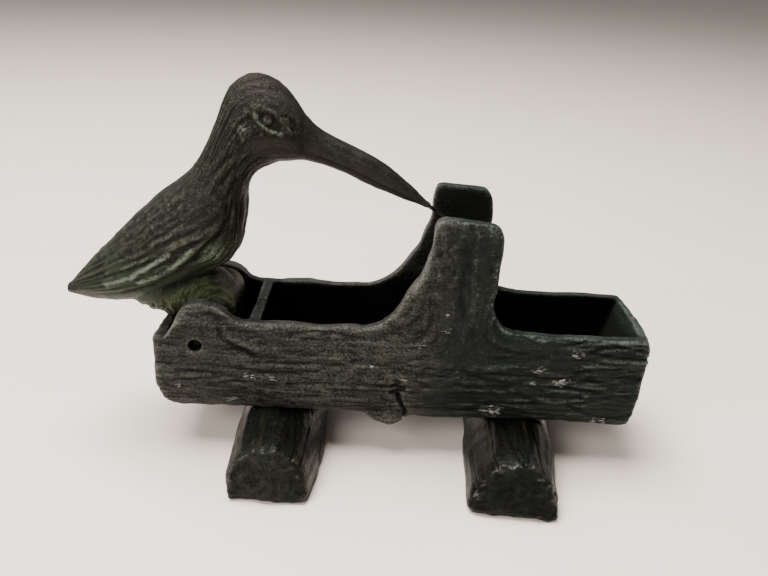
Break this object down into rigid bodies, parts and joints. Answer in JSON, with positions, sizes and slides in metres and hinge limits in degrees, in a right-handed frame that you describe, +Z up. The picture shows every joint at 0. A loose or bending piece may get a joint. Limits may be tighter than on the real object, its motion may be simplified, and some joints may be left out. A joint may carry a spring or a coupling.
{
  "type": "bird toothpick dispenser",
  "caption": "Cast-metal bird on a hollow log that tips forward on a pin and dips its beak needle between two posts to pick a toothpick from the trough.",
  "frame": {"origin": "under the middle of the whole length, on the plane that the feet stand on", "axes": "+X along the log from the bird's tail to the far end, +Y across the log along the pin, +Z up"},
  "size_m": [0.1164, 0.0591, 0.0748],
  "materials": {
    "log_casting": "dark aged finish, bark grain, rubbed edges and pale chips",
    "foot_casting": "dark semi-gloss aged finish with streaks",
    "bird_casting": "dark brown aged finish with green tint low down and pale rubbed feather edges",
    "steel_fittings": "darkened steel"
  },
  "bodies": {
    "log": {"log_trough": "log_casting", "front_foot": "foot_casting", "rear_foot": "foot_casting", "front_foot_rivet": "steel_fittings", "rear_foot_rivet": "steel_fittings", "pivot_pin": "steel_fittings", "return_spring": "steel_fittings"},
    "bird": {"bird": "bird_casting", "beak_needle": "steel_fittings"}
  },
  "joints": [
    {"name": "bird_tip", "type": "hinge", "parent": "log", "child": "bird", "pos_m": [-0.02985, 0, 0.0246], "axis": [0, 1, 0], "range_deg": [0, 40], "stiffness_Nm_per_rad": 0.03, "springref_deg": -14.32, "deforming": ["return_spring"]}
  ]
}
